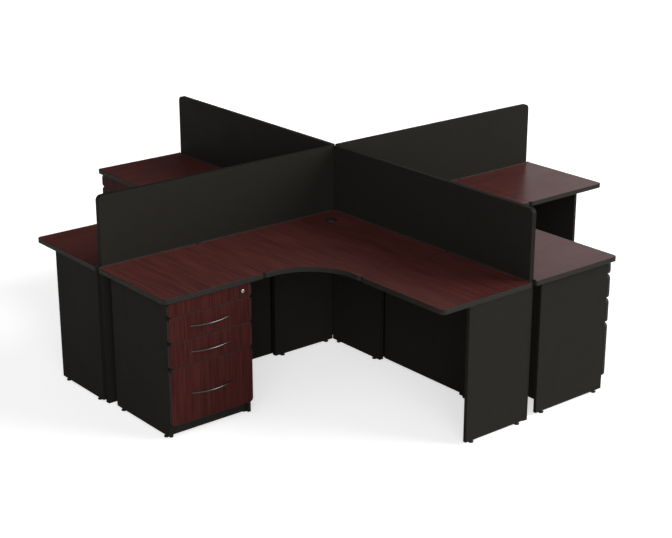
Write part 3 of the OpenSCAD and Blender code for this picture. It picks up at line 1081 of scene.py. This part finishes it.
class WORKSTATION_OT_back_panels(bpy.types.Operator):
    """Back panels of the corner and of both wings, with the posts at their outer ends"""

    bl_idname = "workstation.back_panels"
    bl_label = "Back panels"

    def execute(self, context):
        s, p = sizes(), plan()
        post_end = high("wing_back_panels").x
        post_start = post_end - s.post_thick
        # Kind, span along the wing, lower edge, thickness, face and grain's shift for each station
        boards = (
            ("corner_back", (s.corner_face + s.glue, high("corner_back_panels").x), p.foot,
             s.corner_thick, s.corner_face, CORNER_BACK_SHIFT),
            ("wing_back", (s.wing_start, post_start - s.glue), p.foot + s.wing_up,
             s.wing_thick, s.wing_face, WING_BACK_SHIFT),
            ("wing_post", (post_start, post_end), p.foot, s.post_deep, s.post_face, POST_SHIFT),
        )
        for quarter, station in enumerate(STATIONS):
            for wing in (0, 1):
                for kind, (start, stop), foot, thick, face, shift in boards:
                    shape = Shape((2, 0, 1), shift=shift * quarter + wing)
                    shape.board(rectangle(start, foot, stop, p.under), thick, facing_y(thick - face),
                                band=s.band)
                    if wing:
                        shape.points = [Vector((-q.y, -q.x, q.z)) for q in shape.points]
                        shape.faces = [tuple(reversed(f)) for f in shape.faces]
                    nodes = with_first(quarter + wing, f"{kind}_panels") if kind != "wing_post" else []
                    panel(f"{station}_{kind}_{wing + 1}", shape, quarter, nodes)
        return {"FINISHED"}


class WORKSTATION_OT_pedestals(bpy.types.Operator):
    """Pedestal cases of seven boards each"""

    bl_idname = "workstation.pedestals"
    bl_label = "Pedestals"

    def execute(self, context):
        s, p = sizes(), plan()
        lo, hi = p.case_lo, p.case_hi
        thick, y0, y1 = s.case_board, p.cavity_lo, p.cavity_hi
        back_at = lo.x + s.case_back_set
        inside = back_at + s.case_back_thick
        toe = hi.x - s.toe_deep - thick
        for quarter, station in enumerate(STATIONS):
            name = f"{station}_pedestal_case"
            sides = Shape((2, 0, 1), shift=CASE_SHIFTS[0] * quarter)
            for y_top in (y0 - s.glue, hi.y):
                sides.board(rectangle(lo.x, lo.z, hi.x, hi.z), thick - s.glue, facing_y(y_top),
                            band=s.band)
            panel(f"{name}_sides", sides, quarter, [name])
            inner = Shape((1, 0, 2), shift=CASE_SHIFTS[0] * quarter + CASE_SHIFTS[1])
            inner.board(rectangle(inside + s.glue, y0, hi.x, y1), thick, lying(s.case_floor), band=s.band)
            inner.board(rectangle(y0, s.case_floor, y1, hi.z), s.case_back_thick, facing_x(back_at))
            inner.board(rectangle(y0, lo.z, y1, s.case_floor - s.glue), thick, facing_x(toe), band=s.band)
            for x0, x1 in ((hi.x - s.stretcher, hi.x), (inside + s.glue, inside + s.stretcher)):
                inner.board(rectangle(x0, y0, x1, y1), thick, lying(hi.z - thick), band=s.band)
            panel(f"{name}_boards", inner, quarter)
        return {"FINISHED"}


class WORKSTATION_OT_lock_rails(bpy.types.Operator):
    """Fixed rails above the drawers, with their cleats and lock housings"""

    bl_idname = "workstation.lock_rails"
    bl_label = "Lock rails"

    def execute(self, context):
        s, p = sizes(), plan()
        lo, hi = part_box("lock_rails")
        for quarter, station in enumerate(STATIONS):
            rail = Shape((2, 1, 0), shift=RAIL_SHIFTS[0] * quarter + RAIL_SHIFTS[1])
            rail.board(rectangle(p.case_lo.y, lo.z, p.case_hi.y, hi.z, (s.front_radius,) * 4),
                       s.front_thick, facing_x(p.front_back), band=s.front_band,
                       holes=[circle(p.lock_y, p.lock_z, s.barrel / 2)])
            piece(f"{station}_lock_rail", rail, quarter, "root", wood("mahogany_front"),
                  with_first(quarter, "lock_rails"))
            cleats = Shape((2, 1, 0))
            cleats.block((p.case_hi.x - s.cleat_deep, p.cavity_lo, lo.z + s.cleat_in),
                         (p.front_back, p.cavity_lo + s.case_board, hi.z - s.cleat_in))
            panel(f"{station}_rail_cleats", cleats.mirrored(p.middle_y), quarter)
            piece(f"{station}_lock_housing", self.housing(), quarter, "root",
                  [material("lock_metal")], with_first(quarter, "lock_housings"))
        return {"FINISHED"}

    def housing(self):
        """A lock's barrel in the rail, with a flange whose edge is rounded."""
        s, p = sizes(), plan()
        back = p.front_back - s.barrel_back
        out = p.face + s.flange_out
        bore, barrel, flange = s.plug_hole / 2, s.barrel / 2, s.lock_flange / 2
        ease = 0.0005
        return Shape((1, 2, 0)).lathe(
            [(bore, back), (barrel - ease, back), (barrel, back + ease), (barrel, p.face),
             (flange, p.face), (flange, out - 2 * ease), (flange - ease, out - ease),
             (flange - 3 * ease, out), (bore + ease, out), (bore, out - ease), (bore, back)],
            towards_front(p.lock_y, p.lock_z))


class WORKSTATION_OT_locks(bpy.types.Operator):
    """Finish of the lock plugs, which stay as the solids are"""

    bl_idname = "workstation.locks"
    bl_label = "Lock plugs"

    def execute(self, context):
        for station in STATIONS:
            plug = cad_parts[f"{station}_lock"]
            plug.data.materials.clear()
            plug.data.materials.append(material("plug_metal"))
            weld = plug.modifiers.new("weld", "WELD")
            weld.merge_threshold = 0.00001
            ease = plug.modifiers.new("eased edges", "BEVEL")
            ease.width = 0.0002
            ease.segments = 2
            ease.angle_limit = math.radians(40)
            plug.modifiers.new("even shading", "WEIGHTED_NORMAL")
        return {"FINISHED"}


class WORKSTATION_OT_drawers(bpy.types.Operator):
    """Twelve drawers: a front, a box of five boards and a pair of runner angles each"""

    bl_idname = "workstation.drawers"
    bl_label = "Drawers"

    def execute(self, context):
        for quarter, station in enumerate(STATIONS):
            for number, drawer in enumerate(DRAWERS):
                name = f"{station}_{drawer}_drawer"
                body = f"{name}_body"
                shift = DRAWER_SHIFTS[0] * quarter + DRAWER_SHIFTS[1] * number
                bottom, top = box_edges(drawer)
                piece(f"{name}_front", self.front(drawer, shift), quarter, body,
                      wood("mahogany_front"), [name])
                piece(f"{name}_box", self.box(bottom, top, shift), quarter, body,
                      [material("drawer_box_foil"), material("edge_band")])
                piece(f"{name}_angles", self.angles(bottom + sizes().runner_up), quarter, body,
                      [material("runner_coat")])
                if drawer == "file":
                    piece(f"{name}_file_rails", self.file_rails(top), quarter, body,
                          [material("black_plastic")])
        return {"FINISHED"}

    def front(self, drawer, shift):
        s = sizes()
        lo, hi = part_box(f"front_{drawer}_drawer")
        path = rectangle(lo.y, lo.z, hi.y, hi.z, (s.front_radius,) * 4)
        return Shape((2, 1, 0), shift=shift).board(
            path, s.front_thick, facing_x(plan().front_back), band=s.front_band)

    def box(self, z0, z1, shift):
        """Two sides, a back, a board behind the front, and a bottom between them."""
        s, p = sizes(), plan()
        wall, glue = s.box_side, s.glue
        x0, x1 = p.box_back, p.front_back - glue
        y0, y1 = p.cavity_lo + s.runner_gap, p.cavity_hi - s.runner_gap
        in0, in1 = y0 + wall + glue, y1 - wall - glue
        shape = Shape((0, 2, 1), shift=shift)
        for y_top in (y0 + wall, y1):
            shape.board(rectangle(x0, z0, x1, z1), wall, facing_y(y_top), radius=BOX_EASE)
        for x in (x0, x1 - wall):
            shape.board(rectangle(in0, z0, in1, z1), wall, facing_x(x), radius=BOX_EASE)
        shape.board(rectangle(x0 + wall + glue, in0, x1 - wall - glue, in1), s.box_bottom,
                    lying(z0 + s.bottom_up), radius=BOX_EASE)
        return shape

    def angles(self, z):
        """The drawer's pair of runner angles, each with its roller, over channels at z."""
        s, p = sizes(), plan()
        sheet, wall = s.sheet, p.cavity_lo
        web = s.runner_gap - s.glue
        shelf = z + s.angle_shelf
        section = [(wall + web - sheet, z + s.angle_up), (wall + web, z + s.angle_up),
                   (wall + web, shelf + sheet), (wall + s.angle_reach, shelf + sheet),
                   (wall + s.angle_reach, shelf), (wall + web - sheet, shelf)]
        x0 = p.box_back + s.angle_set
        shape = Shape((0, 2, 1)).prism(section, facing_x(x0), s.angle_long)
        roller(shape, x0 + s.roller_in, z + sheet + s.roller_play + s.roller / 2, wall)
        return shape.mirrored(p.middle_y)

    def file_rails(self, z):
        """Rails on the file drawer's sides for hanging files: a foot with an upright fin."""
        s, p = sizes(), plan()
        foot_in, foot_high = 0.0015, 0.004
        fin, fin_high, lap = (0.0045, 0.0075), 0.011, 0.0005
        x0, x1 = p.box_back + s.box_side, p.front_back - s.box_side
        y0 = p.cavity_lo + s.runner_gap
        shape = Shape((0, 2, 1))
        shape.block((x0, y0 + foot_in, z), (x1, y0 + s.box_side - foot_in, z + foot_high), BOX_EASE)
        shape.block((x0, y0 + fin[0], z + foot_high - lap), (x1, y0 + fin[1], z + fin_high), BOX_EASE)
        return shape.mirrored(p.middle_y)


def roller(shape, x, z, wall):
    """A roller with a riveted pin, at the side wall of the drawers' space. The real one is nylon; here it
    takes the finish of the shape it is added to.
    """
    s = sizes()
    radius, pin = s.roller / 2, s.roller_pin / 2
    w0, w1 = s.roller_off, s.roller_off + s.roller_wide
    ease, groove, groove_floor, pin_out = 0.0007, 0.002, 0.0015, 0.0005
    shape.lathe([(0, w0), (radius - ease, w0), (radius, w0 + ease), (radius, w1 - ease),
                 (radius - ease, w1), (pin + groove, w1), (pin + groove_floor, w1 - ease),
                 (pin, w1 - ease), (pin, w1 + pin_out), (0, w1 + pin_out)], across_y(x, z, wall))


class WORKSTATION_OT_runners(bpy.types.Operator):
    """Runner channels with their rollers, screwed to the pedestals"""

    bl_idname = "workstation.runners"
    bl_label = "Drawer runners"

    def execute(self, context):
        s, p = sizes(), plan()
        sheet, wall, x1 = s.sheet, p.cavity_lo, p.case_hi.x
        for quarter, station in enumerate(STATIONS):
            shape = Shape((0, 2, 1))
            for drawer in DRAWERS:
                z = box_edges(drawer)[0] + s.runner_up
                w0, w1, top = wall + s.glue, wall + s.channel_wide, z + s.runner_high
                section = [(w0, z), (w1, z), (w1, z + sheet), (w0 + sheet, z + sheet),
                           (w0 + sheet, top - sheet), (w1, top - sheet), (w1, top), (w0, top)]
                shape.prism(section, facing_x(x1 - s.runner_long), s.runner_long)
                roller(shape, x1 - s.roller_in, z + s.angle_shelf - s.roller_play - s.roller / 2, wall)
            piece(f"{station}_runners", shape.mirrored(p.middle_y), quarter, "root",
                  [material("runner_coat")], with_first(quarter, "drawer_runners"))
        return {"FINISHED"}


class WORKSTATION_OT_pulls(bpy.types.Operator):
    """Twelve bow pulls"""

    bl_idname = "workstation.pulls"
    bl_label = "Bow pulls"

    def execute(self, context):
        for quarter, station in enumerate(STATIONS):
            for drawer in DRAWERS:
                name = f"{station}_{drawer}_pull"
                piece(f"{name}_bar", self.bar(*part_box(f"front_{drawer}_pull")), quarter,
                      f"{station}_{drawer}_drawer_body", [material("pull_metal")], [name])
        return {"FINISHED"}

    def bar(self, lo, hi):
        """A round bar bent to an arc, cut off where it meets the drawer's front."""
        face = plan().face
        bar_radius = (hi.z - lo.z) / 2
        half = (hi.y - lo.y) / 2
        out = hi.x - face - bar_radius
        end_radius = half - bar_radius
        for _ in range(BOW_ROUNDS):
            bow = (end_radius ** 2 + out ** 2) / (2 * out)
            end_radius = half - bar_radius * bow / (bow - out)
        centre = Vector((hi.x - bar_radius - bow, (lo.y + hi.y) / 2, (lo.z + hi.z) / 2))
        reach = math.asin(end_radius / bow) + BOW_EXTRA
        sections = []
        for i in range(BOW_STEPS + 1):
            turn = reach * (2 * i / BOW_STEPS - 1)
            outward = Vector((math.cos(turn), math.sin(turn), 0))
            ring = []
            for corner in circle(0, 0, bar_radius, BAR_STEPS):
                at = centre + outward * (bow + corner.x)
                at.z += corner.y
                if at.x < face:
                    at = self.on_face(at, outward, face)
                ring.append(at)
            sections.append(ring)
        return Shape((1, 2, 0)).tube(sections)

    def on_face(self, at, outward, face):
        """The point slid along the bar to the drawer's front."""
        along = Vector((-outward.y, outward.x, 0))
        return at + along * ((face - at.x) / along.x)


class WORKSTATION_OT_feet(bpy.types.Operator):
    """Levelling feet under every panel"""

    bl_idname = "workstation.feet"
    bl_label = "Levelling feet"

    def execute(self, context):
        places, profile = self.places(), self.profile()
        for quarter, station in enumerate(STATIONS):
            shape = Shape((0, 1, 2))
            for x, y in places:
                shape.lathe(profile, upright(x, y), steps=FOOT_STEPS)
            piece(f"{station}_feet", shape, quarter, "root", [material("black_plastic")],
                  with_first(quarter, "levelling_feet"))
        return {"FINISHED"}

    def places(self):
        """Where a station's feet stand: four under its pedestal, two under its gable, and three
        under the back panels of each wing."""
        s, p = sizes(), plan()
        gable_lo, gable_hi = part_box("front_end_gable")
        side = s.case_board / 2
        places = []
        for x in (p.case_lo.x + s.foot_in, p.case_hi.x - s.foot_in + FRONT_FOOT_SHIFT):
            places += [(x, p.case_lo.y + side), (x, p.case_hi.y - side)]
        for y in (-s.gable_foot, gable_lo.y + s.gable_foot_in):
            places.append(((gable_lo.x + gable_hi.x) / 2, y))
        wing = [(x, s.corner_thick / 2 - s.corner_face) for x in CORNER_FEET]
        wing.append((high("wing_back_panels").x - s.post_thick / 2, s.post_deep / 2 - s.post_face))
        return places + wing + [(-y, -x) for x, y in wing]

    def profile(self):
        """A foot from its pad's underside up its stem, with the rings of a thread."""
        s = sizes()
        pad, stem, pad_high = s.foot_pad / 2, s.foot_stem / 2, 0.007
        low_in, low_up, high_ease, lip, dish, collar = 0.0015, 0.0012, 0.002, 0.006, 0.0008, 0.001
        rings, rise, ring_deep, ring_high, pitch = 4, 0.0004, 0.0006, 0.0006, 0.0013
        profile = [(0, 0), (pad - low_in, 0), (pad, low_up), (pad, pad_high - high_ease),
                   (pad - high_ease, pad_high), (pad - lip, pad_high),
                   (stem + collar, pad_high - dish), (stem, pad_high - dish)]
        for ring in range(rings):
            z = pad_high + rise + ring * pitch
            profile += [(stem, z), (stem - ring_deep, z + ring_high)]
        return profile + [(stem, plan().foot), (0, plan().foot)]


class WORKSTATION_OT_grommets(bpy.types.Operator):
    """Cable grommets: a sleeve with its flange, and a cap with a slot"""

    bl_idname = "workstation.grommets"
    bl_label = "Grommets"

    def execute(self, context):
        for quarter, station in enumerate(STATIONS):
            piece(f"{station}_grommet_ring", self.sleeve(), quarter, "root",
                  [material("grommet_plastic")], with_first(quarter, "grommets"))
            piece(f"{station}_grommet_cap", self.cap(), quarter, "root",
                  [material("grommet_plastic")] * 2)
        return {"FINISHED"}

    def sleeve(self):
        """The sleeve in the worktop, and its flange with a seat for the cap."""
        s = sizes()
        outer = s.grommet_flange / 2
        sleeve = s.grommet_hole / 2 - s.glue
        inner = sleeve - s.sleeve_wall
        play, step = 0.0004, 0.0006
        seat, top = s.grommet_cap / 2 + play, s.flange_high
        edge = [(outer - inwards, top * share) for inwards, share in FLANGE_EDGE]
        return Shape((0, 1, 2)).lathe(
            [(inner, -s.sleeve_long), (sleeve, -s.sleeve_long), (sleeve, 0), (outer, 0), *edge,
             (seat + step, top), (seat, top - step), (seat, step), (inner, step),
             (inner, -s.sleeve_long)],
            upright(s.grommet_at, -s.grommet_at, plan().over), steps=GROMMET_STEPS)

    def cap(self):
        """The cap, a little above the worktop, with its cable slot."""
        s = sizes()
        above, edge_radius, slot_radius = 0.0007, 0.0012, 0.002
        reach, half = s.grommet_flange / 2 - s.slot_in, s.slot_wide / 2
        turn = Matrix.Rotation(s.slot_turn, 2)
        slot = rectangle(reach - s.slot_long, -half, reach, half, (slot_radius,) * 4)
        return Shape((0, 1, 2)).board(
            circle(0, 0, s.grommet_cap / 2, GROMMET_STEPS), s.cap_high - above,
            upright(s.grommet_at, -s.grommet_at, plan().over + above), radius=edge_radius,
            holes=[[turn @ corner for corner in slot]])


# Each lamp's azimuth and elevation and how wide it is, in degrees
LAMPS = (
    ("key", 54, 24, 50),
    ("fill", -35, 15, 50),
    ("high_fill", -75, 60, 50),
)
# Where the lamps stand: their distance from a point at this height over the centre
LAMP_FAR = 10
LAMP_AIM = 0.7
# The level direction to the studio's bright side, and where across it the brightness rises
WINDOW_SIDE = (0.643, 0.766)
WINDOW_EDGE = (-0.02, 0.12)
# Half of the floor's side
FLOOR_REACH = 40.0
# The camera's sensor, in millimetres, and how far it sees, in metres
SENSOR_WIDE = 36
VIEW_FAR = 100


class WORKSTATION_OT_stage(bpy.types.Operator):
    """Camera, three broad lamps, a white world and a pale floor"""

    bl_idname = "workstation.stage"
    bl_label = "Stage"

    def execute(self, context):
        context.scene.view_settings.view_transform = "Standard"
        self.camera(context)
        self.world(context)
        self.lamps(context)
        self.floor(context)
        return {"FINISHED"}

    def camera(self, context):
        settings = stage_settings()
        lens = bpy.data.cameras.new("camera")
        lens.lens = settings.lens
        lens.sensor_width = SENSOR_WIDE
        lens.clip_end = VIEW_FAR
        camera = bpy.data.objects.new("camera", lens)
        camera.location = settings.camera_at
        camera.rotation_euler = (math.pi / 2 - settings.elevation, 0, settings.azimuth)
        context.scene.collection.objects.link(camera)
        context.scene.camera = camera

    def world(self, context):
        """White to the camera and through glass. Reflections see a bright side and a dim side, and
        matt surfaces get an even light."""
        settings = stage_settings()
        world = bpy.data.worlds.new("studio")
        world.use_nodes = True
        world.node_tree.nodes.clear()
        context.scene.world = world
        w = Wiring(world.node_tree)
        rays = w.node("ShaderNodeLightPath").outputs
        seen = w.math("MAXIMUM", rays["Is Camera Ray"], rays["Is Transmission Ray"])
        plain = w.band(seen, 0, 1, settings.sky, 1.0)
        side = w.node("ShaderNodeVectorMath", operation="DOT_PRODUCT")
        w.join(w.node("ShaderNodeTexCoord").outputs["Generated"], side.inputs[0])
        side.inputs[1].default_value = (*WINDOW_SIDE, 0)
        reflected = w.band(side.outputs["Value"], *WINDOW_EDGE, settings.dim, settings.window)
        change = w.math("MULTIPLY", w.math("SUBTRACT", reflected, plain), rays["Is Glossy Ray"])
        light = w.node("ShaderNodeBackground")
        light.inputs["Color"].default_value = (1, 1, 1, 1)
        w.join(w.math("ADD", plain, change), light.inputs["Strength"])
        w.join(light.outputs[0], w.node("ShaderNodeOutputWorld").inputs["Surface"])

    def lamps(self, context):
        for name, azimuth, elevation, spread in LAMPS:
            sun = bpy.data.lights.new(name, "SUN")
            sun.energy = getattr(stage_settings(), name)
            sun.angle = math.radians(spread)
            azimuth, elevation = math.radians(azimuth), math.radians(elevation)
            away = Vector((math.cos(elevation) * math.cos(azimuth),
                           math.cos(elevation) * math.sin(azimuth), math.sin(elevation)))
            lamp = bpy.data.objects.new(name, sun)
            lamp.location = away * LAMP_FAR + Vector((0, 0, LAMP_AIM))
            lamp.rotation_euler = away.to_track_quat("Z", "Y").to_euler()
            lamp.visible_camera = False
            # Seen from behind, the low fill would turn the worktops white with its reflection
            lamp.visible_glossy = name != "fill"
            context.scene.collection.objects.link(lamp)

    def floor(self, context):
        """A matt floor that adds white of its own for the camera alone."""
        made = bpy.data.materials.new("floor")
        made.use_nodes = True
        made.node_tree.nodes.clear()
        w = Wiring(made.node_tree)
        matt = w.node("ShaderNodeBsdfDiffuse")
        matt.inputs["Color"].default_value = (0.80, 0.80, 0.80, 1)
        glow = w.node("ShaderNodeEmission")
        glow.inputs["Color"].default_value = (1, 1, 1, 1)
        rays = w.node("ShaderNodeLightPath").outputs
        w.join(w.math("MULTIPLY", rays["Is Camera Ray"], stage_settings().floor_glow),
               glow.inputs["Strength"])
        both = w.node("ShaderNodeAddShader")
        w.join(matt.outputs[0], both.inputs[0])
        w.join(glow.outputs[0], both.inputs[1])
        w.join(both.outputs[0], w.node("ShaderNodeOutputMaterial").inputs["Surface"])
        mesh = bpy.data.meshes.new("floor")
        corners = [(x * FLOOR_REACH, y * FLOOR_REACH, 0) for x, y in ((-1, -1), (1, -1), (1, 1), (-1, 1))]
        mesh.from_pydata(corners, [], [(0, 1, 2, 3)])
        mesh.materials.append(made)
        floor = bpy.data.objects.new("floor", mesh)
        context.scene.collection.objects.link(floor)


BUILDERS = (
    WORKSTATION_OT_stage, WORKSTATION_OT_worktops, WORKSTATION_OT_dividers, WORKSTATION_OT_gables,
    WORKSTATION_OT_back_panels, WORKSTATION_OT_pedestals, WORKSTATION_OT_lock_rails,
    WORKSTATION_OT_locks, WORKSTATION_OT_drawers, WORKSTATION_OT_runners, WORKSTATION_OT_pulls,
    WORKSTATION_OT_feet, WORKSTATION_OT_grommets,
)
SETTINGS = {"sizes": WorkstationSizes, "finish": WorkstationFinish, "stage": WorkstationStage}


class WORKSTATION_PT_panel(bpy.types.Panel):
    """The workstation's sizes, finishes and pieces"""

    bl_idname = "WORKSTATION_PT_panel"
    bl_label = "Workstation"
    bl_space_type = "VIEW_3D"
    bl_region_type = "UI"
    bl_category = "Workstation"

    def draw(self, context):
        layout = self.layout
        for settings in (sizes(), finish(), stage_settings()):
            box = layout.box()
            for name in settings.bl_rna.properties.keys():
                if name not in ("rna_type", "name"):
                    box.prop(settings, name)
        for builder in BUILDERS:
            layout.operator(builder.bl_idname)


CLASSES = (*SETTINGS.values(), *BUILDERS, WORKSTATION_PT_panel)


def register():
    for each in CLASSES:
        bpy.utils.register_class(each)
    for name, group in SETTINGS.items():
        setattr(bpy.types.Scene, f"workstation_{name}", PointerProperty(type=group))


def unregister():
    for name in SETTINGS:
        delattr(bpy.types.Scene, f"workstation_{name}")
    for each in reversed(CLASSES):
        bpy.utils.unregister_class(each)


def main():
    register()
    for builder in BUILDERS:
        getattr(bpy.ops.workstation, builder.bl_idname.split(".")[1])()
    bpy.context.view_layer.update()


if __name__ == "__main__":
    main()
